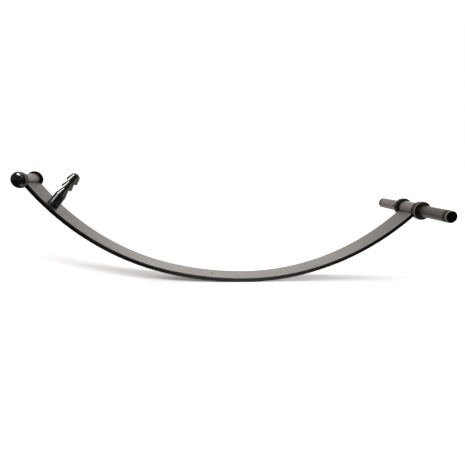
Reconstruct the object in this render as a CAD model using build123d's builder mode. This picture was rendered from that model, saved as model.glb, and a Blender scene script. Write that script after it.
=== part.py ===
from build123d import *
from math import asin, cos, degrees, radians, sin
import os

# A curved flat bar, concave side up, with a sleeve welded across each end. The left sleeve
# (-X) carries domed caps; the right sleeve (+X) carries a long cross handle held by collars.
# A stepped plug stands on the concave face near the left end.
# X runs along the bar, Y across it (front = -Y, rear = +Y), Z is up. The origin is at the
# bar's lowest line in height, and under the middle of the overall box in X. Millimetres, degrees.

os.makedirs("parts", exist_ok=True)

# ---------------------------------------------------------------- bar and hubs
BAR_WIDTH = 62.0
BAR_THICK = 10.0
BAR_EDGE = 0.7  # chamfer on the long edges

# The outer (convex) face is three tangent arcs. Stations (S_) are arc lengths along it
# from the lowest line, positive to the right.
R_RIGHT = 600.0
R_MID = 749.0
R_LEFT = 568.0
S_BREAK = -200.535  # where the middle arc meets the left one
S_CAP_HUB = -590.0
S_HANDLE_HUB = 464.75
S_PLUG = -509.02
S_CENTRE_HOLE = -83.22
CAP_HUB_HEIGHT = 4.0  # hub axes above the outer face
HANDLE_HUB_HEIGHT = 4.2
CAP_END_TRIM = 10.0  # the uncoped bar stops this far short of each hub axis
HANDLE_END_TRIM = 12.0
CENTRE_HOLE_R = 3.0

TURNED_FIT = 0.04  # radial gap of a spigot in its bore
CAP_SLEEVE_R = 13.3
CAP_SLEEVE_BORE_R = 11.5
HANDLE_SLEEVE_R = 16.6
HANDLE_SLEEVE_BORE_R = 14.9
SLEEVE_HALF = BAR_WIDTH / 2 + 0.5
SLEEVE_EDGE = 0.4
WELD_LEG = 1.8
WELD_HALF = 29.0

# ---------------------------------------------------------------- cap hub
CAP_RING_R = 18.5
CAP_RING_WIDTH = 6.0
CAP_RING_BORE_R = 8.0
CAP_RING_GROOVE = 0.8
CAP_SPIGOT_R = CAP_SLEEVE_BORE_R - TURNED_FIT
CAP_SPIGOT_LENGTH = 14.0
DOME_R = 17.3
DOME_RIM = 1.8
DOME_HEIGHT = 9.4
DOME_NECK_R = 14.9
DOME_NECK = 0.8
DOME_STEM_R = CAP_RING_BORE_R - TURNED_FIT
DOME_STEM_LENGTH = 19.0

# ---------------------------------------------------------------- handle hub
HANDLE_R = 13.45
HANDLE_BORE_R = 11.45
HANDLE_HALF = 145.6
HANDLE_EDGE = 0.4
BUSH_BORE_R = HANDLE_R + 0.05
BUSH_SPIGOT_R = HANDLE_SLEEVE_BORE_R - TURNED_FIT
BUSH_SPIGOT_LENGTH = 20.0
BUSH_FLANGE_R = 20.6
BUSH_FLANGE = 3.2
BUSH_EDGE = 0.7
COLLAR_GAP = 0.2
COLLAR_START = SLEEVE_HALF + BUSH_FLANGE + COLLAR_GAP
COLLAR_R = 22.0
COLLAR_WIDTH = 14.0
COLLAR_BORE_R = HANDLE_R + 0.02
COLLAR_LIP_R = 18.7
COLLAR_RECESS_R = 15.5
COLLAR_RECESS = 4.4
GRUB_R = 3.0
GRUB_LENGTH = 7.0
GRUB_POS = 6.0  # from the collar's inboard face
GRUB_ANGLE = 35  # above horizontal, towards +X
GRUB_SOCKET_R = 1.73  # across the hexagon's corners, as a radius
SOCKET_DEPTH = 3.2
GROOVE_POS = 141.4
GROOVE_WIDTH = 4.4
GROOVE_R = 12.3
LOCATING_LINE_W = 1.0
LOCATING_LINE_R = 13.05
LOCATING_LINE_GAP = 0.2  # from the collar's outboard face
DRAIN_HOLE_R = 2.5
DRAIN_HOLE_POS = 86.0
END_PLUG_FLANGE = 5.4
END_PLUG_R = 13.4
END_PLUG_SHANK_R = HANDLE_BORE_R - TURNED_FIT
END_PLUG_SHANK = 16.0
END_PLUG_WALL = 2.0

# ---------------------------------------------------------------- plug
PLUG_RAKE = 5.0
PLUG_OFFSET_Y = -6.0
PLUG_RING_R = 13.0
PLUG_RING_H = 6.5
PLUG_LENGTH = 93.2
INSERT_R = 6.5
INSERT_LENGTH = 16.0
INSERT_TOP = PLUG_RING_H + INSERT_LENGTH
INSERT_WAIST_R = INSERT_R - 0.9
SCREW_R = 4.0
SCREW_HEAD_R = 8.0
SCREW_SOCKET_R = 2.89
SCREW_HOLE_R = SCREW_R + 0.25
SINK_R = SCREW_HEAD_R + 0.4


# ---------------------------------------------------------------- places along the bar
def bar_frame(s):
    """Point on the bar's outer face at station s, before centring, with its tangent angle."""
    if s >= S_BREAK:
        radius = R_RIGHT if s >= 0 else R_MID
        angle = s / radius
        return radius * sin(angle), radius * (1 - cos(angle)), degrees(angle)
    start = S_BREAK / R_MID
    angle = start + (s - S_BREAK) / R_LEFT
    return (
        R_MID * sin(start) + R_LEFT * (sin(angle) - sin(start)),
        R_MID * (1 - cos(start)) + R_LEFT * (cos(start) - cos(angle)),
        degrees(angle),
    )


def off_face(s, height):
    """Point at a height above the outer face, along the normal towards the concave side."""
    x, z, angle = bar_frame(s)
    return x - height * sin(radians(angle)), z + height * cos(radians(angle))


def leaning_plane(x, y, z, angle):
    """Plane tilted about Y: angle 0 faces up, a positive angle leans towards -X."""
    lean = radians(angle)
    return Plane(
        origin=(x, y, z),
        x_dir=(cos(lean), 0, sin(lean)),
        z_dir=(-sin(lean), 0, cos(lean)),
    )


cap_x, cap_z = off_face(S_CAP_HUB, CAP_HUB_HEIGHT)
handle_x, handle_z = off_face(S_HANDLE_HUB, HANDLE_HUB_HEIGHT)
# this shift puts the origin under the middle of the overall box
SHIFT_X = -((cap_x - CAP_RING_R) + (handle_x + COLLAR_R)) / 2

# (x, z) of the two cross axes
CAP_HUB = (cap_x + SHIFT_X, cap_z)
HANDLE_HUB = (handle_x + SHIFT_X, handle_z)

BREAK = S_BREAK / R_MID
BREAK_ANGLE = degrees(BREAK)
RIGHT_END = degrees((S_HANDLE_HUB - HANDLE_END_TRIM) / R_RIGHT)
LEFT_END = degrees(BREAK + (S_CAP_HUB + CAP_END_TRIM - S_BREAK) / R_LEFT)
LEFT_CENTRE = (
    SHIFT_X + (R_MID - R_LEFT) * sin(BREAK),
    R_MID * (1 - cos(BREAK)) + R_LEFT * cos(BREAK),
)
# centre (x, z), radius of the outer face, start angle, sweep
LEFT_ARC = (LEFT_CENTRE, R_LEFT, -90 + LEFT_END, BREAK_ANGLE - LEFT_END)
BAR_ARCS = (
    ((SHIFT_X, R_RIGHT), R_RIGHT, -90, RIGHT_END),
    ((SHIFT_X, R_MID), R_MID, -90 + BREAK_ANGLE, -BREAK_ANGLE),
    LEFT_ARC,
)

SIDE = Plane.XZ  # local x = +X, local y = +Z, normal = -Y

# the plug stands on the concave face, raked towards the left hub
plug_x, plug_z = off_face(S_PLUG, BAR_THICK)
PLUG_PLANE = leaning_plane(
    plug_x + SHIFT_X, PLUG_OFFSET_Y, plug_z, bar_frame(S_PLUG)[2] + PLUG_RAKE
)
PLUG_AXIS = Axis(PLUG_PLANE.origin, PLUG_PLANE.z_dir)
# local x = radius, local y = height above the bar
PLUG_PROFILE = Plane(
    origin=PLUG_PLANE.origin, x_dir=PLUG_PLANE.x_dir, z_dir=-PLUG_PLANE.y_dir
)


# ---------------------------------------------------------------- helpers
def save(part, name):
    part.label = name
    export_step(part, "parts/" + name + ".step")


def hub_plane(hub):
    """Plane square to a hub's cross axis, facing the front."""
    return Plane(origin=(hub[0], 0, hub[1]), x_dir=(1, 0, 0), z_dir=(0, -1, 0))


def hub_axis(hub):
    return Axis((hub[0], 0, hub[1]), (0, 1, 0))


def hub_profile(hub, sign):
    """Plane through a cross axis: local x = radius, local y = outwards (sign -1 is front)."""
    return Plane(origin=(hub[0], 0, hub[1]), x_dir=(1, 0, 0), z_dir=(0, 0, sign))


def grub_plane(sign):
    """Plane on the handle axis that faces along a collar's grub screw."""
    return Plane(
        origin=(HANDLE_HUB[0], sign * (COLLAR_START + GRUB_POS), HANDLE_HUB[1]),
        x_dir=(0, 1, 0),
        z_dir=(cos(radians(GRUB_ANGLE)), 0, sin(radians(GRUB_ANGLE))),
    )


def crown_mid(rim_r, rim_y, top_y):
    """Half-way point of a shallow spherical crown, from its rim to the pole on the axis."""
    rise = top_y - rim_y
    ball = (rim_r**2 + rise**2) / (2 * rise)
    half = asin(rim_r / ball) / 2
    return ball * sin(half), top_y - ball + ball * cos(half)


def turn(name, plane, axis, outline, arc_mid=None):
    """Revolve a (radius, distance) outline, closed by a line or by an arc through arc_mid."""
    with BuildPart() as piece:
        with BuildSketch(plane):
            with BuildLine():
                Polyline(*outline, close=arc_mid is None)
                if arc_mid is not None:
                    ThreePointArc(outline[-1], arc_mid, outline[0])
            make_face()
        revolve(axis=axis)
    save(piece.part, name)


# ---------------------------------------------------------------- bar, sleeves and welds
def make_arc_bar():
    with BuildPart() as arc_bar:
        with BuildSketch(SIDE):
            with BuildLine():
                faces = []
                for inset in (0, BAR_THICK):
                    for centre, radius, start, sweep in BAR_ARCS:
                        faces.append(CenterArc(centre, radius - inset, start, sweep))
                outer_right, _, outer_left, inner_right, _, inner_left = faces
                Line(outer_right @ 1, inner_right @ 1)
                Line(outer_left @ 0, inner_left @ 0)
            make_face()
            # both ends are coped to the sleeves
            for hub, radius in ((CAP_HUB, CAP_SLEEVE_R), (HANDLE_HUB, HANDLE_SLEEVE_R)):
                with Locations(hub):
                    Circle(radius, mode=Mode.SUBTRACT)
        extrude(amount=BAR_WIDTH / 2, both=True)
        chamfer(
            arc_bar.edges().filter_by(
                lambda e: abs(abs(e.center().Y) - BAR_WIDTH / 2) < 1e-3
                and e.length > 3 * BAR_THICK
            ),
            BAR_EDGE,
        )
        # small hole left of the lowest line
        x, z = off_face(S_CENTRE_HOLE, BAR_THICK / 2)
        with BuildSketch(leaning_plane(x + SHIFT_X, 0, z, bar_frame(S_CENTRE_HOLE)[2])):
            Circle(CENTRE_HOLE_R)
        extrude(amount=BAR_THICK, both=True, mode=Mode.SUBTRACT)
        # countersunk hole under the plug, bored along the plug's own axis
        with BuildSketch(PLUG_PROFILE):
            with BuildLine():
                Polyline(
                    (0, -2 * BAR_THICK),
                    (SINK_R, -2 * BAR_THICK),
                    (SINK_R, -BAR_THICK),
                    (SCREW_HOLE_R, -BAR_THICK + SINK_R - SCREW_HOLE_R),
                    (SCREW_HOLE_R, BAR_THICK),
                    (0, BAR_THICK),
                    close=True,
                )
            make_face()
        revolve(axis=PLUG_AXIS, mode=Mode.SUBTRACT)
    save(arc_bar.part, "arc_bar")
    return arc_bar.part


def make_sleeve(name, hub, radius, bore_r):
    with BuildPart() as sleeve:
        with BuildSketch(hub_plane(hub)):
            Circle(radius)
            Circle(bore_r, mode=Mode.SUBTRACT)
        extrude(amount=SLEEVE_HALF, both=True)
        chamfer(sleeve.edges().filter_by(GeomType.CIRCLE), SLEEVE_EDGE)
    save(sleeve.part, name)


def bead_points(radius, face, toward_bar, angle, flip):
    """Outline of one fillet bead in the hub plane.

    face is the bar face's distance from the axis, toward_bar is +1 or -1 along the bar's
    tangent, and flip is +1 on the concave face, -1 on the convex one.
    """
    root_angle = asin(face / radius)
    tip_angle = root_angle + WELD_LEG / radius
    root = radius * cos(root_angle)
    # the first two and the last point lie inside the sleeve or bar and are cut away
    local = [
        (root - 1.5, face - 1.5),
        ((radius - 0.6) * cos(tip_angle), (radius - 0.6) * sin(tip_angle)),
        (radius * cos(tip_angle), radius * sin(tip_angle)),
        (root + 0.42 * WELD_LEG, face + 0.42 * WELD_LEG),
        (root + WELD_LEG, face),
        (root + WELD_LEG, face - 0.8),
    ]
    cos_a, sin_a = cos(radians(angle)), sin(radians(angle))
    return [
        (u * toward_bar * cos_a - flip * v * sin_a, u * toward_bar * sin_a + flip * v * cos_a)
        for u, v in local
    ]


def make_welds(name, hub, radius, height, toward_bar, angle, bar):
    with BuildPart() as welds:
        with BuildSketch(hub_plane(hub)):
            for flip, face in ((1, BAR_THICK - height), (-1, height)):
                with BuildLine():
                    Polyline(*bead_points(radius, face, toward_bar, angle, flip), close=True)
                make_face()
        extrude(amount=WELD_HALF, both=True)
        with BuildSketch(hub_plane(hub)):
            Circle(radius)
        extrude(amount=BAR_WIDTH, both=True, mode=Mode.SUBTRACT)
        add(bar, mode=Mode.SUBTRACT)
    save(welds.part, name)


# ---------------------------------------------------------------- cap hub pieces
def make_cap_ring(end, sign):
    inner = SLEEVE_HALF
    outer = inner + CAP_RING_WIDTH
    spigot_end = inner - CAP_SPIGOT_LENGTH
    outline = [
        (CAP_RING_BORE_R, spigot_end),
        (CAP_SPIGOT_R - 1.0, spigot_end),
        (CAP_SPIGOT_R, spigot_end + 1.6),
        (CAP_SPIGOT_R, inner),
        (CAP_RING_R - 0.6, inner),
        (CAP_RING_R, inner + 0.6),
        # groove round the rim
        (CAP_RING_R, inner + 1.8),
        (CAP_RING_R - CAP_RING_GROOVE, inner + 2.3),
        (CAP_RING_R - CAP_RING_GROOVE, inner + 2.9),
        (CAP_RING_R, inner + 3.4),
        (CAP_RING_R, outer - 0.8),
        (CAP_RING_R - 0.8, outer),
        (CAP_RING_BORE_R, outer),
    ]
    turn("cap_ring_" + end, hub_profile(CAP_HUB, sign), hub_axis(CAP_HUB), outline)


def make_dome_cap(end, sign):
    seat = SLEEVE_HALF + CAP_RING_WIDTH
    stem_end = seat - DOME_STEM_LENGTH
    rim = seat + DOME_NECK
    dome = rim + DOME_RIM
    top = dome + DOME_HEIGHT
    outline = [
        (0, top),
        (0, stem_end),
        (DOME_STEM_R - 1.2, stem_end),
        (DOME_STEM_R, stem_end + 2.0),
        (DOME_STEM_R, seat),
        (DOME_NECK_R, seat),
        (DOME_NECK_R, rim),
        (DOME_R - 0.7, rim),
        (DOME_R, rim + 0.7),
        (DOME_R, dome),
    ]
    crown = crown_mid(DOME_R, dome, top)
    turn("dome_cap_" + end, hub_profile(CAP_HUB, sign), hub_axis(CAP_HUB), outline, crown)


# ---------------------------------------------------------------- handle hub pieces
def make_handle_bush(end, sign):
    spigot_end = SLEEVE_HALF - BUSH_SPIGOT_LENGTH
    outer = SLEEVE_HALF + BUSH_FLANGE
    outline = [
        (BUSH_BORE_R + 0.5, spigot_end),
        (BUSH_SPIGOT_R - 0.5, spigot_end),
        (BUSH_SPIGOT_R, spigot_end + 1.0),
        (BUSH_SPIGOT_R, SLEEVE_HALF),
        (BUSH_FLANGE_R - BUSH_EDGE, SLEEVE_HALF),
        (BUSH_FLANGE_R, SLEEVE_HALF + BUSH_EDGE),
        (BUSH_FLANGE_R, outer - BUSH_EDGE),
        (BUSH_FLANGE_R - BUSH_EDGE, outer),
        (BUSH_BORE_R + 0.4, outer),
        (BUSH_BORE_R, outer - 0.4),
        (BUSH_BORE_R, spigot_end + 0.5),
    ]
    turn("handle_bush_" + end, hub_profile(HANDLE_HUB, sign), hub_axis(HANDLE_HUB), outline)


def make_collar(end, sign):
    inner = COLLAR_START
    outer = inner + COLLAR_WIDTH
    shoulder = (COLLAR_R, outer - 4.6)
    lip = (COLLAR_LIP_R, outer)
    recess_edge = (COLLAR_RECESS_R, outer - 3.2)
    with BuildPart() as collar:
        with BuildSketch(hub_profile(HANDLE_HUB, sign)):
            with BuildLine():
                Polyline(
                    recess_edge,
                    (COLLAR_RECESS_R, outer - COLLAR_RECESS),
                    (COLLAR_BORE_R, outer - COLLAR_RECESS),
                    (COLLAR_BORE_R, inner),
                    (COLLAR_R - 1.6, inner),
                    (COLLAR_R - 1.6, inner + 1.0),
                    (COLLAR_R - 0.6, inner + 1.4),
                    (COLLAR_R, inner + 2.2),
                    shoulder,
                )
                # rounded lip round a recess that the tube comes out of
                ThreePointArc(shoulder, (COLLAR_R - 1.1, outer - 1.35), lip)
                ThreePointArc(lip, (COLLAR_RECESS_R + 0.75, outer - 1.0), recess_edge)
            make_face()
        revolve(axis=hub_axis(HANDLE_HUB))
        # hole for the grub screw
        with BuildSketch(grub_plane(sign)):
            Circle(GRUB_R)
        extrude(amount=COLLAR_R + 5, mode=Mode.SUBTRACT)
    save(collar.part, "collar_" + end)


def make_end_plug(end, sign):
    seat = HANDLE_HALF
    top = seat + END_PLUG_FLANGE
    shank_end = seat - END_PLUG_SHANK
    crown_rim = (END_PLUG_R - 1.8, top - 0.5)
    outline = [
        (0, top),
        (0, seat - 2.0),
        (END_PLUG_SHANK_R - END_PLUG_WALL, seat - 2.0),
        (END_PLUG_SHANK_R - END_PLUG_WALL, shank_end),
        (END_PLUG_SHANK_R - 0.8, shank_end),
        (END_PLUG_SHANK_R, shank_end + 2.0),
        (END_PLUG_SHANK_R, seat),
        (END_PLUG_R - 0.3, seat),
        (END_PLUG_R, seat + 0.3),
        # rounded outer edge
        (END_PLUG_R, top - 2.2),
        (END_PLUG_R - 0.25, top - 1.4),
        (END_PLUG_R - 0.9, top - 0.75),
        crown_rim,
    ]
    plane = hub_profile(HANDLE_HUB, sign)
    crown = crown_mid(*crown_rim, top)
    turn("handle_end_plug_" + end, plane, hub_axis(HANDLE_HUB), outline, crown)


def make_groove_ring(end, sign):
    bore_r = GROOVE_R + 0.02
    edge_r = HANDLE_R - 0.75
    half_width = GROOVE_WIDTH / 2 - 0.1
    outline = [
        (edge_r, GROOVE_POS - half_width),
        (bore_r, GROOVE_POS - half_width),
        (bore_r, GROOVE_POS + half_width),
        (edge_r, GROOVE_POS + half_width),
    ]
    plane = hub_profile(HANDLE_HUB, sign)
    bulge = (HANDLE_R - 0.25, GROOVE_POS)
    turn("handle_groove_ring_" + end, plane, hub_axis(HANDLE_HUB), outline, bulge)


def make_collar_screws():
    tip = HANDLE_R + 0.02
    with BuildPart() as screws:
        for sign in (-1, 1):
            plane = grub_plane(sign)
            with BuildSketch(plane.offset(tip)):
                Circle(GRUB_R - 0.03)
            extrude(amount=GRUB_LENGTH)
            # hexagon socket, cut out past the screw's outer end
            with BuildSketch(plane.offset(tip + GRUB_LENGTH - SOCKET_DEPTH)):
                RegularPolygon(GRUB_SOCKET_R, 6)
            extrude(amount=SOCKET_DEPTH + 0.8, mode=Mode.SUBTRACT)
    save(screws.part, "collar_screws")


def make_handle_tube():
    groove_inner = GROOVE_POS - GROOVE_WIDTH / 2
    groove_outer = GROOVE_POS + GROOVE_WIDTH / 2
    # (radius, y) of the rear half; the front half mirrors it
    rear = [
        (HANDLE_R, groove_inner),
        (GROOVE_R, groove_inner),
        (GROOVE_R, groove_outer),
        (HANDLE_R, groove_outer),
        (HANDLE_R, HANDLE_HALF - HANDLE_EDGE),
        (HANDLE_R - HANDLE_EDGE, HANDLE_HALF),
        (HANDLE_BORE_R, HANDLE_HALF),
    ]
    front = [(radius, -y) for radius, y in reversed(rear)]
    plane = hub_profile(HANDLE_HUB, 1)
    with BuildPart() as tube:
        with BuildSketch(plane):
            with BuildLine():
                Polyline(*front, *rear, close=True)
            make_face()
        revolve(axis=hub_axis(HANDLE_HUB))
        # a shallow turned line at the outer face of each collar shows where it is locked
        line_start = COLLAR_START + COLLAR_WIDTH + LOCATING_LINE_GAP
        with BuildSketch(plane):
            for y in (-line_start - LOCATING_LINE_W, line_start):
                with BuildLine():
                    Polyline(
                        (LOCATING_LINE_R, y),
                        (HANDLE_R + 1.0, y),
                        (HANDLE_R + 1.0, y + LOCATING_LINE_W),
                        (LOCATING_LINE_R, y + LOCATING_LINE_W),
                        close=True,
                    )
                make_face()
        revolve(axis=hub_axis(HANDLE_HUB), mode=Mode.SUBTRACT)
        # small drain holes on the underside
        for sign in (-1, 1):
            origin = (HANDLE_HUB[0], sign * DRAIN_HOLE_POS, HANDLE_HUB[1])
            with BuildSketch(Plane(origin=origin, x_dir=(1, 0, 0), z_dir=(0, 0, -1))):
                Circle(DRAIN_HOLE_R)
            extrude(amount=HANDLE_R + 5, mode=Mode.SUBTRACT)
    save(tube.part, "handle_tube")


# ---------------------------------------------------------------- plug pieces
def make_plug_base_ring():
    bore_r = SCREW_R + 0.3
    with BuildPart() as ring:
        with BuildSketch(PLUG_PROFILE):
            with BuildLine():
                Polyline(
                    (bore_r, -4.0),
                    (PLUG_RING_R, -4.0),
                    (PLUG_RING_R, PLUG_RING_H - 0.6),
                    (PLUG_RING_R - 0.6, PLUG_RING_H),
                    (bore_r, PLUG_RING_H),
                    close=True,
                )
            make_face()
        revolve(axis=PLUG_AXIS)
        # the foot of the ring is shaped to the bar's concave face
        centre, radius, start, sweep = LEFT_ARC
        with BuildSketch(SIDE):
            with BuildLine():
                arc = CenterArc(centre, radius - BAR_THICK, start, sweep)
                Line(arc @ 0, centre)
                Line(centre, arc @ 1)
            make_face()
        extrude(amount=BAR_WIDTH, both=True, mode=Mode.INTERSECT)
    save(ring.part, "plug_base_ring")


def make_plug_body():
    base = PLUG_RING_H
    crown_rim = (10.2, 87.0)
    # (radius, height above the bar): bore for the insert, then three tapering tiers
    outline = [
        (0, PLUG_LENGTH), (0, INSERT_TOP), (INSERT_R, INSERT_TOP), (INSERT_R, base),
        (12.2, base), (12.7, base + 0.5), (12.4, 29.5), (12.0, 31.5), (6.7, 50.0),
        (6.7, 51.0), (12.6, 51.2), (13.0, 51.8), (8.3, 68.8),
        (8.3, 70.4), (13.5, 70.8), (13.9, 71.4), crown_rim,
    ]
    crown = crown_mid(*crown_rim, PLUG_LENGTH)
    turn("plug_body", PLUG_PROFILE, PLUG_AXIS, outline, crown)


def make_plug_insert():
    base = PLUG_RING_H
    bore_r = SCREW_R + 0.02
    outer_r = INSERT_R - 0.02
    outline = [
        (bore_r, base + 0.02),
        (outer_r, base + 0.02),
        (outer_r, base + 6.0),
        (INSERT_WAIST_R, base + 6.6),
        (INSERT_WAIST_R, base + 8.6),
        (outer_r, base + 9.2),
        (outer_r, INSERT_TOP - 0.1),
        (bore_r, INSERT_TOP - 0.1),
    ]
    turn("plug_insert", PLUG_PROFILE, PLUG_AXIS, outline)


def make_plug_screw():
    head_base = -BAR_THICK + 0.5
    head_r = SCREW_HEAD_R - 0.6
    shank_r = SCREW_R - 0.02
    tip = INSERT_TOP - 0.4
    with BuildPart() as screw:
        with BuildSketch(PLUG_PROFILE):
            with BuildLine():
                Polyline(
                    (0, head_base),
                    (head_r, head_base),
                    (head_r, head_base + 0.3),
                    (shank_r, head_base + 0.3 + head_r - SCREW_R),
                    (shank_r, tip - 1.2),
                    (SCREW_R - 1.0, tip),
                    (0, tip),
                    close=True,
                )
            make_face()
        revolve(axis=PLUG_AXIS)
        # hexagon socket, cut from just below the head
        with BuildSketch(PLUG_PLANE.offset(head_base - 0.5)):
            RegularPolygon(SCREW_SOCKET_R, 6)
        extrude(amount=SOCKET_DEPTH + 0.5, mode=Mode.SUBTRACT)
    save(screw.part, "plug_screw")


# ---------------------------------------------------------------- build
arc_bar = make_arc_bar()

# name, hub, sleeve radius, bore radius, axis height, direction to the bar, station
for hub_name, hub, radius, bore_r, height, toward_bar, station in (
    ("cap_hub", CAP_HUB, CAP_SLEEVE_R, CAP_SLEEVE_BORE_R, CAP_HUB_HEIGHT, 1, S_CAP_HUB),
    ("handle_hub", HANDLE_HUB, HANDLE_SLEEVE_R, HANDLE_SLEEVE_BORE_R, HANDLE_HUB_HEIGHT,
     -1, S_HANDLE_HUB),
):
    make_sleeve(hub_name + "_sleeve", hub, radius, bore_r)
    angle = bar_frame(station)[2]
    make_welds(hub_name + "_welds", hub, radius, height, toward_bar, angle, arc_bar)

for end, sign in (("front", -1), ("rear", 1)):
    make_cap_ring(end, sign)
    make_dome_cap(end, sign)
    make_handle_bush(end, sign)
    make_collar(end, sign)
    make_end_plug(end, sign)
    make_groove_ring(end, sign)

make_collar_screws()
make_handle_tube()
make_plug_base_ring()
make_plug_body()
make_plug_insert()
make_plug_screw()
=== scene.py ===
import math

import bmesh
import bpy
import numpy as np
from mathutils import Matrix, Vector


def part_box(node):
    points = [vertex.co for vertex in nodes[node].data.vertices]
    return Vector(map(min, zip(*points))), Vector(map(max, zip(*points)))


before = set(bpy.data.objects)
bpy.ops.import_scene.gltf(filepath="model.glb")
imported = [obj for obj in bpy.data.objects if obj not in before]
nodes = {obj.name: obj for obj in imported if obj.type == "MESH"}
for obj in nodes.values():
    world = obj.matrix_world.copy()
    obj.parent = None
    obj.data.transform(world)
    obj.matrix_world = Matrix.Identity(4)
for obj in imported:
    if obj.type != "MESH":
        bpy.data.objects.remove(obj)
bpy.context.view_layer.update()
scene = bpy.context.scene

# ------------------------------------------------------------------ places from the frame
hub_lo, hub_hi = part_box("handle_hub_sleeve")
cap_lo, cap_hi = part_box("cap_hub_sleeve")
HUB = (hub_lo + hub_hi) / 2
CAP = (cap_lo + cap_hi) / 2
HUB_R = (hub_hi.z - hub_lo.z) / 2
CAP_R = (cap_hi.z - cap_lo.z) / 2
bar_lo, bar_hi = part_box("arc_bar")
# the lowest line of the bar is where it stands on the floor
co = np.array([v.co for v in nodes["arc_bar"].data.vertices])
low = co[co[:, 2] < 0.00002]
CONTACT_X = float((low[:, 0].min() + low[:, 0].max()) / 2)

for o in nodes.values():
    for p in o.data.polygons:
        p.use_smooth = True


# ------------------------------------------------------------------ node helpers
def material(name):
    m = bpy.data.materials.new(name)
    m.use_nodes = True
    t = m.node_tree
    t.nodes.clear()
    out = t.nodes.new("ShaderNodeOutputMaterial")
    b = t.nodes.new("ShaderNodeBsdfPrincipled")
    t.links.new(b.outputs[0], out.inputs[0])
    return m, t, b


def node(t, kind, **props):
    n = t.nodes.new(kind)
    for k, v in props.items():
        if k.startswith("in_"):
            key = k[3:].replace("__", " ")
            n.inputs[int(key) if key.isdigit() else key].default_value = v
        else:
            setattr(n, k, v)
    return n


def link(t, a, b):
    t.links.new(a, b)


def mapped(t, scale, loc=(0, 0, 0), rot=(0, 0, 0)):
    c = t.nodes.new("ShaderNodeTexCoord")
    m = node(t, "ShaderNodeMapping")
    m.inputs["Scale"].default_value = scale
    m.inputs["Location"].default_value = loc
    m.inputs["Rotation"].default_value = rot
    link(t, c.outputs["Object"], m.inputs["Vector"])
    return m.outputs["Vector"]


def noise(t, vec, scale, detail=4.0, rough=0.55, dist=0.0):
    n = node(t, "ShaderNodeTexNoise")
    n.inputs["Scale"].default_value = scale
    n.inputs["Detail"].default_value = detail
    n.inputs["Roughness"].default_value = rough
    n.inputs["Distortion"].default_value = dist
    link(t, vec, n.inputs["Vector"])
    return n.outputs["Fac"]


def ramp(t, fac, stops, interp="LINEAR"):
    r = node(t, "ShaderNodeValToRGB")
    r.color_ramp.interpolation = interp
    e = r.color_ramp.elements
    while len(e) > 1:
        e.remove(e[-1])
    e[0].position, e[0].color = stops[0][0], (*stops[0][1], 1) if len(stops[0][1]) == 3 else stops[0][1]
    for pos, col in stops[1:]:
        k = e.new(pos)
        k.color = (*col, 1)
    link(t, fac, r.inputs["Fac"])
    return r.outputs["Color"]


def remap(t, fac, a, b, lo=0.0, hi=1.0):
    r = node(t, "ShaderNodeMapRange")
    r.inputs["From Min"].default_value = a
    r.inputs["From Max"].default_value = b
    r.inputs["To Min"].default_value = lo
    r.inputs["To Max"].default_value = hi
    link(t, fac, r.inputs["Value"])
    return r.outputs["Result"]


def math_node(t, op, a, b=None, clamp=False):
    n = node(t, "ShaderNodeMath", operation=op, use_clamp=clamp)
    for i, v in enumerate((a, b)):
        if v is None:
            continue
        if isinstance(v, (int, float)):
            n.inputs[i].default_value = v
        else:
            link(t, v, n.inputs[i])
    return n.outputs[0]


def mix_color(t, fac, a, b, mode="MIX"):
    n = node(t, "ShaderNodeMix", data_type="RGBA", blend_type=mode)
    if isinstance(fac, (int, float)):
        n.inputs["Factor"].default_value = fac
    else:
        link(t, fac, n.inputs["Factor"])
    for key, v in ((6, a), (7, b)):
        if isinstance(v, tuple):
            n.inputs[key].default_value = (*v, 1)
        else:
            link(t, v, n.inputs[key])
    return n.outputs[2]


def bump(t, height, distance, strength=1.0, normal=None):
    n = node(t, "ShaderNodeBump")
    n.inputs["Strength"].default_value = strength
    n.inputs["Distance"].default_value = distance
    link(t, height, n.inputs["Height"])
    if normal is not None:
        link(t, normal, n.inputs["Normal"])
    return n.outputs["Normal"]


def grey(t, value):
    c = t.nodes.new("ShaderNodeCombineXYZ")
    for i in range(3):
        link(t, value, c.inputs[i])
    return c.outputs[0]


def edge_mask(t, radius, lo=0.02, hi=0.25):
    """1 on sharp convex edges, 0 on open faces."""
    b = node(t, "ShaderNodeBevel", samples=6)
    b.inputs["Radius"].default_value = radius
    g = t.nodes.new("ShaderNodeNewGeometry")
    d = node(t, "ShaderNodeVectorMath", operation="DOT_PRODUCT")
    link(t, b.outputs["Normal"], d.inputs[0])
    link(t, g.outputs["Normal"], d.inputs[1])
    inv = math_node(t, "SUBTRACT", 1.0, d.outputs["Value"])
    return remap(t, inv, lo, hi)


def rounded(t, radius):
    b = node(t, "ShaderNodeBevel", samples=8)
    b.inputs["Radius"].default_value = radius
    return b.outputs["Normal"]


# ------------------------------------------------------------------ materials
def toned_down(t, level, lo=0.72, hi=0.97, least=0.15):
    """Specular level that fades where the surface turns edge-on, as it does against dark side screens."""
    w = node(t, "ShaderNodeLayerWeight", in_Blend=0.5)
    return math_node(t, "MULTIPLY", level, remap(t, w.outputs["Facing"], lo, hi, 1.0, least))


def axis_value(t, axis):
    c = t.nodes.new("ShaderNodeTexCoord")
    sep = t.nodes.new("ShaderNodeSeparateXYZ")
    link(t, c.outputs["Object"], sep.inputs[0])
    return sep.outputs["xyz".index(axis)]


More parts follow.
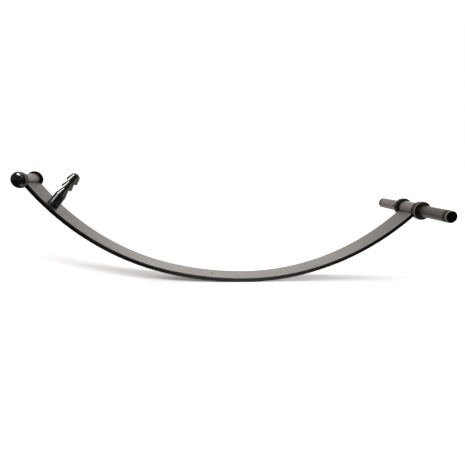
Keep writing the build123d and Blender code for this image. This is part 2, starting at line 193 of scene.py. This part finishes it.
def coated_steel(name, grain_axis, base=(0.020, 0.0165, 0.013), rough=0.42, spec=0.5, streak=0.5, tint=(1.0, 0.98, 0.96),
                 round_edge=0.0004, wear=0.22, along=None, painted_side_shade=None, fade=None):
    """Satin black coat on rolled or drawn steel: orange peel, fine grit, mottling and streaks along the piece.
    along: (axis, [(place, factor), ...]) painted light and shade along the piece, scaling both colour and gloss; sides:
    side faces painted near black and less glossy as painted shade; fade: edge-on fading."""
    m, t, b = material(name)
    stretch = {"x": (0.06, 1.0, 1.0), "y": (1.0, 0.05, 1.0)}[grain_axis]
    line = noise(t, mapped(t, tuple(s * 330 for s in stretch)), 1.0, 5.0, 0.62)
    wide = noise(t, mapped(t, tuple(s * 150 for s in stretch), loc=(3, 7, 1)), 1.0, 4.0, 0.6)
    blotch = noise(t, mapped(t, (1, 1, 1)), 26.0, 4.0, 0.6)
    mottle = noise(t, mapped(t, (1, 1, 1), loc=(8, 3, 3)), 230.0, 3.0, 0.6)
    peel = noise(t, mapped(t, (1, 1, 1)), 900.0, 2.0, 0.5)
    grit = noise(t, mapped(t, (1, 1, 1), loc=(5, 2, 9)), 3200.0, 2.0, 0.6)
    tone = mix_color(t, remap(t, line, 0.3, 0.7), tuple(c * (1 - 0.45 * streak) for c in base), tuple(c * (1 + 0.7 * streak) for c in base))
    tone = mix_color(t, remap(t, blotch, 0.35, 0.7, 0, 0.6), tone, (base[0] * 1.7, base[1] * 1.5, base[2] * 1.35))
    if wear:
        edges = edge_mask(t, 0.0009)
        worn = math_node(t, "MULTIPLY", edges, remap(t, noise(t, mapped(t, (1, 1, 1), loc=(9, 1, 4)), 140.0, 5.0, 0.65), 0.45, 0.75, 0.1, 1.0))
        tone = mix_color(t, math_node(t, "MULTIPLY", worn, wear), tone, (0.12, 0.112, 0.1))
    r = math_node(t, "ADD", remap(t, wide, 0.3, 0.7, rough - 0.06, rough + 0.06), remap(t, grit, 0.3, 0.7, -0.03, 0.03))
    gloss = math_node(t, "ADD", remap(t, wide, 0.3, 0.7, spec * (1 - 0.35 * streak), spec * (1 + 0.35 * streak)), remap(t, mottle, 0.3, 0.7, -0.24 * spec, 0.24 * spec))
    gloss = math_node(t, "ADD", gloss, remap(t, line, 0.3, 0.7, -0.35 * streak * spec, 0.35 * streak * spec))
    # painted light and shade: colour and gloss are scaled along the piece to follow how the light falls on it
    if along:
        place = axis_value(t, along[0])
        stops = along[1]
        painted_light_curve = None
        for (p0, f0), (p1, f1) in zip(stops, stops[1:]):
            step = remap(t, place, p0, p1, 0.0, f1 - f0)
            painted_light_curve = math_node(t, "ADD", step, f0) if painted_light_curve is None else math_node(t, "ADD", painted_light_curve, step)
        gloss = math_node(t, "MULTIPLY", gloss, painted_light_curve)
        painted_light_tone = remap(t, painted_light_curve, 0.0, 1.3, 0.35, 1.15)
        tone = mix_color(t, 1.0, tone, grey(t, painted_light_tone), "MULTIPLY")
    # painted shade: faces turned to the sides are coloured near black and their gloss is cut
    if painted_side_shade:
        g = t.nodes.new("ShaderNodeNewGeometry")
        sep = t.nodes.new("ShaderNodeSeparateXYZ")
        link(t, g.outputs["True Normal"], sep.inputs[0])
        side = remap(t, math_node(t, "ABSOLUTE", sep.outputs[1]), 0.80, 0.92)
        tone = mix_color(t, side, tone, (0.0035, 0.003, 0.0027))
        gloss = math_node(t, "MULTIPLY", gloss, remap(t, side, 0.0, 1.0, 1.0, painted_side_shade))
    if fade:
        gloss = toned_down(t, gloss, *fade)
    link(t, tone, b.inputs["Base Color"])
    link(t, r, b.inputs["Roughness"])
    link(t, gloss, b.inputs["Specular IOR Level"])
    b.inputs["Specular Tint"].default_value = (*tint, 1)
    n = bump(t, peel, 0.00002, 0.6, rounded(t, round_edge))
    n = bump(t, grit, 0.000008, 0.6, n)
    n = bump(t, mottle, 0.00003, 0.35, n)
    n = bump(t, line, 0.000012, 0.6 * streak, n)
    link(t, n, b.inputs["Normal"])
    return m


def gloss_black(name, base=(0.006, 0.0055, 0.005), rough=0.07, spec=0.5):
    """Polished moulded plastic: faint mould flow, hairline rub marks and a slightly softer skin in places."""
    m, t, b = material(name)
    flow = noise(t, mapped(t, (1, 1, 1)), 60.0, 3.0, 0.5, 0.6)
    rub = noise(t, mapped(t, (380, 2600, 380), rot=(0.5, 0.3, 0.8)), 1.0, 3.0, 0.7)
    dust = noise(t, mapped(t, (1, 1, 1), loc=(2, 4, 8)), 1800.0, 2.0, 0.5)
    tone = mix_color(t, remap(t, flow, 0.35, 0.7), base, tuple(c * 2.2 for c in base))
    tone = mix_color(t, remap(t, dust, 0.68, 0.78, 0, 0.25), tone, (0.05, 0.047, 0.043))
    link(t, tone, b.inputs["Base Color"])
    r = math_node(t, "ADD", remap(t, flow, 0.3, 0.7, rough * 0.75, rough * 1.35), remap(t, rub, 0.6, 0.8, 0.0, 0.12))
    link(t, r, b.inputs["Roughness"])
    link(t, toned_down(t, math_node(t, "ADD", remap(t, flow, 0.3, 0.7, -0.05 * spec, 0.05 * spec), spec)), b.inputs["Specular IOR Level"])
    n = bump(t, flow, 0.00006, 0.35, rounded(t, 0.0003))
    n = bump(t, rub, 0.000004, 0.5, n)
    link(t, n, b.inputs["Normal"])
    return m


def turned(name, centre, base, rough, pitch, spec=0.5, depth=0.00001, wear=0.25, wear_and_highlight_color=(0.16, 0.15, 0.14), wear_width=0.0008, highlight_bands=()):
    """A lathe-turned piece about a cross axis: concentric tool marks, edge wear and a mild mottled finish.
    bands: (smallest radius, largest radius, nearest, farthest, strength) painted highlight rings where rims and lips
    catch the light, in metres from the centre."""
    m, t, b = material(name)
    c = t.nodes.new("ShaderNodeTexCoord")
    off = node(t, "ShaderNodeVectorMath", operation="SUBTRACT")
    off.inputs[1].default_value = centre
    link(t, c.outputs["Object"], off.inputs[0])
    sep = t.nodes.new("ShaderNodeSeparateXYZ")
    link(t, off.outputs[0], sep.inputs[0])
    rad = math_node(t, "SQRT", math_node(t, "ADD", math_node(t, "MULTIPLY", sep.outputs[0], sep.outputs[0]), math_node(t, "MULTIPLY", sep.outputs[2], sep.outputs[2])))
    # tool marks follow both the radius (on faces) and the axis (on rims)
    comb = t.nodes.new("ShaderNodeCombineXYZ")
    link(t, math_node(t, "MULTIPLY", rad, 1.0 / pitch), comb.inputs[0])
    link(t, math_node(t, "MULTIPLY", sep.outputs[1], 1.0 / pitch), comb.inputs[1])
    marks = noise(t, comb.outputs[0], 1.0, 2.0, 0.5)
    mott = noise(t, mapped(t, (1, 1, 1)), 180.0, 4.0, 0.6)
    fine = noise(t, mapped(t, (1, 1, 1), loc=(4, 4, 4)), 1500.0, 2.0, 0.5)
    tone = mix_color(t, remap(t, mott, 0.35, 0.7), base, tuple(x * 1.9 for x in base))
    tone = mix_color(t, math_node(t, "MULTIPLY", edge_mask(t, wear_width), wear), tone, wear_and_highlight_color)
    away = math_node(t, "ABSOLUTE", sep.outputs[1])
    # painted highlights: bright rings put where rims and lips catch the light
    for r0, r1, y0, y1, strength in highlight_bands:
        soft = 0.00015
        highlight_mask = None
        for value, edge, sign in ((rad, r0, 1), (rad, r1, -1), (away, y0, 1), (away, y1, -1)):
            part = remap(t, value, edge - soft, edge + soft, 0.0 if sign > 0 else 1.0, 1.0 if sign > 0 else 0.0)
            highlight_mask = part if highlight_mask is None else math_node(t, "MULTIPLY", highlight_mask, part)
        highlight_mask = math_node(t, "MULTIPLY", highlight_mask, remap(t, mott, 0.3, 0.7, strength * 0.75, strength))
        tone = mix_color(t, highlight_mask, tone, wear_and_highlight_color)
    link(t, tone, b.inputs["Base Color"])
    r = math_node(t, "ADD", remap(t, marks, 0.3, 0.7, rough - 0.05, rough + 0.06), remap(t, fine, 0.3, 0.7, -0.02, 0.02))
    link(t, r, b.inputs["Roughness"])
    link(t, toned_down(t, remap(t, mott, 0.3, 0.7, spec * 0.9, spec * 1.1), 0.6, 0.95, 0.1), b.inputs["Specular IOR Level"])
    n = bump(t, marks, depth, 0.6, rounded(t, 0.0004))
    n = bump(t, fine, 0.000006, 0.4, n)
    link(t, n, b.inputs["Normal"])
    return m


def rubber(name):
    m, t, b = material(name)
    g = noise(t, mapped(t, (1, 1, 1)), 1400.0, 3.0, 0.6)
    skin = mix_color(t, g, (0.065, 0.055, 0.046), (0.11, 0.094, 0.08))
    # painted shade: the outer part of the ring is coloured near black as the shadow of the groove beside the end plug
    groove_shade = remap(t, math_node(t, "ABSOLUTE", axis_value(t, "y")), 0.1417, 0.1421)
    link(t, mix_color(t, groove_shade, skin, (0.002, 0.002, 0.002)), b.inputs["Base Color"])
    link(t, remap(t, g, 0.3, 0.7, 0.6, 0.8), b.inputs["Roughness"])
    b.inputs["Specular IOR Level"].default_value = 0.06
    link(t, bump(t, g, 0.00002, 0.6), b.inputs["Normal"])
    return m


def metal(name, color, rough, grain=2500.0):
    m, t, b = material(name)
    g = noise(t, mapped(t, (1, 1, 1)), grain, 3.0, 0.6)
    s = noise(t, mapped(t, (1, 1, 1), loc=(1, 5, 2)), 300.0, 3.0, 0.5)
    link(t, mix_color(t, s, tuple(c * 0.7 for c in color), color), b.inputs["Base Color"])
    b.inputs["Metallic"].default_value = 1.0
    link(t, remap(t, g, 0.3, 0.7, rough - 0.06, rough + 0.08), b.inputs["Roughness"])
    link(t, bump(t, g, 0.00001, 0.5, rounded(t, 0.0002)), b.inputs["Normal"])
    return m


# bar: painted light and shade along its length, darkest towards the left end, and its side faces painted near black as
# painted shade
bar_mat = coated_steel("bar_coat", "x", rough=0.40, streak=0.5, round_edge=0.0003, wear=0.05, painted_side_shade=0.8,
                       along=("x", [(-0.44, 0.58), (-0.30, 0.82), (-0.17, 1.34), (-0.05, 1.12), (0.12, 1.15), (0.30, 1.42), (0.38, 1.08)]))
sleeve_mat = coated_steel("sleeve_coat", "y", base=(0.048, 0.039, 0.032), rough=0.42, spec=0.44, streak=0.3, wear=0.1)
# weld beads coloured far darker than the coat: painted shade of the crease where the sleeves meet the bar
weld_shade_mat = coated_steel("weld_coat_painted_shade", "x", base=(0.003, 0.0027, 0.0025), rough=0.5, spec=0.07, streak=0.3, round_edge=0.0003, wear=0.0)
# handle tube: painted shade as dark bands at both ends and beside the front collar, and painted light making the rear
# stretch brighter than the front
handle_mat = coated_steel("handle_coat", "y", base=(0.036, 0.027, 0.020), rough=0.42, spec=0.42, streak=0.9, tint=(1.0, 0.95, 0.90),
                          along=("y", [(-0.1462, 0.03), (-0.1434, 0.03), (-0.1428, 0.66), (-0.080, 0.66), (-0.068, 0.45), (-0.056, 0.03), (-0.040, 0.04), (0.06, 1.05), (0.1428, 1.05), (0.1434, 0.05), (0.1462, 0.05)]),
                          fade=(0.55, 0.9, 0.25))
# collars: edge wear made strong and two bright rings added, painting the highlight lines on the outer rim and the inner
# lip
collar_mat = turned("collar_coat", tuple(HUB), (0.003, 0.0028, 0.0025), 0.26, 0.00035, depth=0.000008, spec=0.06, wear=0.6, wear_and_highlight_color=(0.30, 0.28, 0.255), wear_width=0.0006,
                    highlight_bands=[(0.0203, 0.0216, 0.0460, 0.0482, 0.85), (0.0150, 0.0168, 0.0450, 0.0492, 1.0)])
bush_mat = turned("bush_plastic", tuple(HUB), (0.003, 0.0028, 0.0025), 0.5, 0.0005, spec=0.08, wear=0.05)
# cap rings: the bright band is a painted highlight on the ring's edge behind the dome
cap_ring_mat = turned("cap_ring_plastic", tuple(CAP), (0.003, 0.0028, 0.0026), 0.3, 0.0004, spec=0.04, wear=0.15, wear_and_highlight_color=(0.36, 0.33, 0.30), wear_width=0.0006, highlight_bands=[(0.0158, 0.0181, 0.0371, 0.0380, 0.8)])
dome_mat = gloss_black("cap_gloss", rough=0.06)
plug_mat = gloss_black("plug_gloss", base=(0.007, 0.006, 0.005), rough=0.10)
base_ring_mat = gloss_black("plug_ring_satin", base=(0.005, 0.005, 0.005), rough=0.3)
# handle end plugs: the bright band is a painted highlight on the rounded flange edge
end_plug_mat = turned("end_plug_plastic", tuple(HUB), (0.0016, 0.0015, 0.0014), 0.3, 0.0006, spec=0.05, wear=0.15, wear_and_highlight_color=(0.26, 0.235, 0.20), wear_width=0.0006,
                      highlight_bands=[(0.0118, 0.0137, 0.1481, 0.1512, 1.0)])
rubber_mat = rubber("ring_rubber")
screw_mat = metal("screw_black_oxide", (0.06, 0.06, 0.062), 0.35)
brass_mat = metal("insert_brass", (0.72, 0.52, 0.24), 0.3)

paint = {
    "arc_bar": bar_mat,
    "cap_hub_sleeve": sleeve_mat,
    "handle_hub_sleeve": sleeve_mat,
    "cap_hub_welds": weld_shade_mat,
    "handle_hub_welds": weld_shade_mat,
    "cap_ring_front": cap_ring_mat,
    "cap_ring_rear": cap_ring_mat,
    "dome_cap_front": dome_mat,
    "dome_cap_rear": dome_mat,
    "handle_bush_front": bush_mat,
    "handle_bush_rear": bush_mat,
    "plug_base_ring": base_ring_mat,
    "plug_body": plug_mat,
    "plug_insert": brass_mat,
    "plug_screw": screw_mat,
    "handle_tube": handle_mat,
    "collar_front": collar_mat,
    "collar_rear": collar_mat,
    "collar_screws": screw_mat,
    "handle_end_plug_front": end_plug_mat,
    "handle_end_plug_rear": end_plug_mat,
    "handle_groove_ring_front": rubber_mat,
    "handle_groove_ring_rear": rubber_mat,
}
for name, mat in paint.items():
    o = nodes[name]
    o.data.materials.clear()
    o.data.materials.append(mat)

# ------------------------------------------------------------------ weld beads: remeshed and rippled like stacked drops
def ripple_group():
    g = bpy.data.node_groups.new("weld_ripple", "GeometryNodeTree")
    g.interface.new_socket("Geometry", in_out="INPUT", socket_type="NodeSocketGeometry")
    g.interface.new_socket("Geometry", in_out="OUTPUT", socket_type="NodeSocketGeometry")
    gin = g.nodes.new("NodeGroupInput")
    gout = g.nodes.new("NodeGroupOutput")
    place = g.nodes.new("GeometryNodeInputPosition")
    sep = g.nodes.new("ShaderNodeSeparateXYZ")
    g.links.new(place.outputs[0], sep.inputs[0])
    wob = g.nodes.new("ShaderNodeTexNoise")
    wob.inputs["Scale"].default_value = 90.0
    g.links.new(place.outputs[0], wob.inputs["Vector"])

    def calc(op, a, b):
        n = g.nodes.new("ShaderNodeMath")
        n.operation = op
        for i, v in enumerate((a, b)):
            if v is None:
                continue
            if isinstance(v, (int, float)):
                n.inputs[i].default_value = v
            else:
                g.links.new(v, n.inputs[i])
        return n.outputs[0]

    phase = calc("ADD", calc("MULTIPLY", sep.outputs[1], math.pi / 0.0024), calc("MULTIPLY", wob.outputs[0], 3.0))
    drop = calc("ABSOLUTE", calc("SINE", phase, None), None)
    lift = calc("MULTIPLY", calc("SUBTRACT", drop, 0.55), 0.00032)
    normal = g.nodes.new("GeometryNodeInputNormal")
    off = g.nodes.new("ShaderNodeVectorMath")
    off.operation = "SCALE"
    g.links.new(normal.outputs[0], off.inputs[0])
    g.links.new(lift, off.inputs["Scale"])
    move = g.nodes.new("GeometryNodeSetPosition")
    g.links.new(gin.outputs[0], move.inputs["Geometry"])
    g.links.new(off.outputs[0], move.inputs["Offset"])
    g.links.new(move.outputs[0], gout.inputs[0])
    return g


ripple = ripple_group()
for name in ("cap_hub_welds", "handle_hub_welds"):
    o = nodes[name]
    m = o.modifiers.new("grain", "REMESH")
    m.mode = "VOXEL"
    m.voxel_size = 0.00028
    m.use_smooth_shade = True
    m = o.modifiers.new("ripple", "NODES")
    m.node_group = ripple

# ------------------------------------------------------------------ floor, light and camera
def floor_half(name, x0, x1):
    bpy.ops.mesh.primitive_plane_add(size=1, location=((x0 + x1) / 2, 0, 0))
    o = bpy.context.object
    o.name = name
    o.scale = (x1 - x0, 60, 1)
    return o


floor_left = floor_half("studio_floor_left", -30.0, CONTACT_X)
floor_right = floor_half("studio_floor_right", CONTACT_X, 30.0)
fm, ft, fb = material("studio_floor")
ft.nodes.remove(fb)
floor_diffuse = ft.nodes.new("ShaderNodeBsdfDiffuse")
link(ft, floor_diffuse.outputs[0], ft.nodes["Material Output"].inputs[0])
# the floor is pale to the eye; seen in the part's own reflections it darkens towards the front,
# as it would with a black flag standing before it
f_path = ft.nodes.new("ShaderNodeLightPath")
f_geo = ft.nodes.new("ShaderNodeNewGeometry")
f_sep = ft.nodes.new("ShaderNodeSeparateXYZ")
link(ft, f_geo.outputs["Position"], f_sep.inputs[0])
f_back = remap(ft, f_sep.outputs[1], -0.13, -0.02, 0.02, 0.86)
f_side = remap(ft, f_sep.outputs[0], -0.50, -0.44, 0.03, 1.0)
f_far = math_node(ft, "MULTIPLY", f_back, f_side)
# painted light seen only in reflections: a pale spot on the floor just in front of and below the left cap
reflection_spot = node(ft, "ShaderNodeVectorMath", operation="DISTANCE")
reflection_spot.inputs[1].default_value = (CAP.x + 0.07, -0.15, 0.0)
link(ft, f_geo.outputs["Position"], reflection_spot.inputs[0])
f_gloss = math_node(ft, "MAXIMUM", f_far, remap(ft, reflection_spot.outputs["Value"], 0.05, 0.11, 0.9, 0.0))
f_mix = node(ft, "ShaderNodeMix", data_type="FLOAT")
f_mix.inputs[2].default_value = 0.40
link(ft, f_path.outputs["Is Glossy Ray"], f_mix.inputs[0])
link(ft, f_gloss, f_mix.inputs[3])
f_mix2 = node(ft, "ShaderNodeMix", data_type="FLOAT")
link(ft, f_path.outputs["Is Camera Ray"], f_mix2.inputs[0])
link(ft, f_mix.outputs[0], f_mix2.inputs[2])
f_mix2.inputs[3].default_value = 0.86
link(ft, f_mix2.outputs[0], floor_diffuse.inputs["Color"])
for half in (floor_left, floor_right):
    half.data.materials.append(fm)

world = bpy.data.worlds.new("studio")
scene.world = world
world.use_nodes = True
wt = world.node_tree
wt.nodes.clear()
w_out = wt.nodes.new("ShaderNodeOutputWorld")
w_bg = wt.nodes.new("ShaderNodeBackground")
link(wt, w_bg.outputs[0], w_out.inputs[0])
geo = wt.nodes.new("ShaderNodeTexCoord")
sepw = wt.nodes.new("ShaderNodeSeparateXYZ")
link(wt, geo.outputs["Generated"], sepw.inputs[0])
# what the part mirrors: a bright low band behind it, dimmer to the sides and higher up, nearly black in front
SKY_FRONT = 0.14
SKY_LOW = 2.9
SKY_HIGH = 1.25
TURN = math.radians(10)
flat = math_node(wt, "SQRT", math_node(wt, "ADD", math_node(wt, "MULTIPLY", sepw.outputs[0], sepw.outputs[0]), math_node(wt, "MULTIPLY", sepw.outputs[1], sepw.outputs[1])))
turned_y = math_node(wt, "ADD", math_node(wt, "MULTIPLY", sepw.outputs[1], math.cos(TURN)), math_node(wt, "MULTIPLY", sepw.outputs[0], math.sin(TURN)))
facing = math_node(wt, "DIVIDE", turned_y, math_node(wt, "MAXIMUM", flat, 0.001))
back = remap(wt, facing, 0.45, 0.90, 0.0, 1.0)
high = remap(wt, sepw.outputs[2], 0.27, 0.54, SKY_LOW - SKY_FRONT, SKY_HIGH - SKY_FRONT)
over = remap(wt, sepw.outputs[2], 0.80, 0.97, 0.0, 1.1)
mirror = math_node(wt, "ADD", math_node(wt, "ADD", math_node(wt, "MULTIPLY", back, high), SKY_FRONT), over)
# what lights it: a plain even dome, a little stronger overhead
even = remap(wt, sepw.outputs[2], 0.0, 1.0, 0.36, 0.75)
lp = wt.nodes.new("ShaderNodeLightPath")
pick = node(wt, "ShaderNodeMix", data_type="FLOAT")
link(wt, lp.outputs["Is Diffuse Ray"], pick.inputs[0])
link(wt, mirror, pick.inputs[2])
link(wt, even, pick.inputs[3])
level = pick.outputs[0]
sky = wt.nodes.new("ShaderNodeCombineXYZ")
for i, tint in enumerate((1.035, 1.0, 0.965)):
    link(wt, math_node(wt, "MULTIPLY", level, tint), sky.inputs[i])
eye = node(wt, "ShaderNodeMix", data_type="RGBA")
link(wt, lp.outputs["Is Camera Ray"], eye.inputs["Factor"])
link(wt, sky.outputs[0], eye.inputs[6])
eye.inputs[7].default_value = (1, 1, 1, 1)
link(wt, eye.outputs[2], w_bg.inputs["Color"])
w_bg.inputs["Strength"].default_value = 1.0


def softbox(name, at, aim, size, radiance, color=(1, 1, 1), diffuse=True, glossy=True, only=None):
    l = bpy.data.lights.new(name, "AREA")
    l.shape = "RECTANGLE"
    l.size, l.size_y = size
    l.energy = radiance * math.pi * size[0] * size[1]
    l.color = color
    o = bpy.data.objects.new(name, l)
    scene.collection.objects.link(o)
    o.location = at
    o.rotation_euler = (Vector(aim) - Vector(at)).to_track_quat("-Z", "Y").to_euler()
    o.visible_diffuse = diffuse
    o.visible_glossy = glossy
    o.visible_camera = False
    if only:
        group = bpy.data.collections.new(name + "_receivers")
        for piece in only:
            group.objects.link(piece)
        o.light_linking.receiver_collection = group
    return o


def towards(azimuth, elevation, distance, origin=(0.0, 0.0, 0.15)):
    """A place seen from the origin at an azimuth (from +Y towards +X) and elevation, in degrees."""
    a, e = math.radians(azimuth), math.radians(elevation)
    return Vector(origin) + distance * Vector((math.sin(a) * math.cos(e), math.cos(a) * math.cos(e), math.sin(e)))


def floor_sun(name, receiver, azimuth, elevation, width, strength, shadow=True):
    """Soft distant key that only lights one half of the floor; strength is the radiance it gives a white floor."""
    l = bpy.data.lights.new(name, "SUN")
    l.energy = strength * math.pi / math.sin(math.radians(elevation))
    l.angle = math.radians(width)
    l.use_shadow = shadow
    o = bpy.data.objects.new(name, l)
    scene.collection.objects.link(o)
    o.rotation_euler = (towards(azimuth, elevation, 1.0, (0, 0, 0)) * -1).to_track_quat("-Z", "Y").to_euler()
    o.visible_glossy = False
    group = bpy.data.collections.new(name + "_receivers")
    group.objects.link(receiver)
    o.light_linking.receiver_collection = group


floor_sun("floor_key_left", floor_left, 155, 35, 22, 0.67)
floor_sun("floor_fill_left", floor_left, 0, 88, 10, 0.18, shadow=False)
floor_sun("floor_key_right", floor_right, -62, 67, 55, 0.54)
floor_sun("floor_fill_right", floor_right, 0, 88, 10, 0.41, shadow=False)

PLUG_AT = (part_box("plug_body")[0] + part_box("plug_body")[1]) / 2
pieces = list(nodes.values())
hub_pieces = [nodes[n] for n in ("collar_front", "collar_rear", "handle_end_plug_front", "handle_end_plug_rear")]
plug_pieces = [nodes["plug_body"], nodes["plug_base_ring"]]
softbox("top_soft", (0.0, 0.1, 2.4), (0, 0, 0), (2.6, 1.8), 2.4, glossy=False, only=pieces)
softbox("key_gloss", towards(-137, 65, 3.0), (0, 0, 0.15), (2.0, 0.8), 24, color=(1.0, 0.98, 0.95), diffuse=False, only=[o for o in pieces if o not in hub_pieces])
softbox("dome_glow", towards(148, 52, 3.0), (0, 0, 0.15), (1.0, 0.8), 2.6, color=(1.0, 0.98, 0.95), diffuse=False, only=[nodes["dome_cap_front"], nodes["dome_cap_rear"]])
softbox("hub_glow", towards(-80, 50, 3.0), (0, 0, 0.15), (1.0, 1.0), 10.0, color=(1.0, 0.97, 0.93), diffuse=False, only=hub_pieces)
softbox("plug_key", towards(-134, 39, 1.4, PLUG_AT), PLUG_AT, (0.8, 0.36), 21, color=(1.0, 0.99, 0.97), diffuse=False, only=plug_pieces)
softbox("plug_low", towards(-133, 17, 1.4, PLUG_AT), PLUG_AT, (0.7, 0.5), 10, color=(1.0, 0.98, 0.95), diffuse=False, only=plug_pieces)
softbox("plug_fill", towards(115, -20, 0.34, PLUG_AT), PLUG_AT, (0.26, 0.14), 1.5, color=(1.0, 0.9, 0.8), diffuse=False, only=plug_pieces)

cam_data = bpy.data.cameras.new("camera")
cam = bpy.data.objects.new("camera", cam_data)
scene.collection.objects.link(cam)
cam_data.sensor_width = 36.0
cam_data.lens = 350.0 / 465.0 * 36.0
cam_data.clip_start = 0.01
pitch, yaw = 0.18435, -0.05087
fwd = Vector((-math.sin(yaw) * math.cos(pitch), math.cos(yaw) * math.cos(pitch), -math.sin(pitch)))
cam.location = (CONTACT_X - 0.07396, -0.84588, 0.27578)
cam.rotation_euler = fwd.to_track_quat("-Z", "Y").to_euler()
scene.camera = cam
scene.view_settings.view_transform = "Standard"
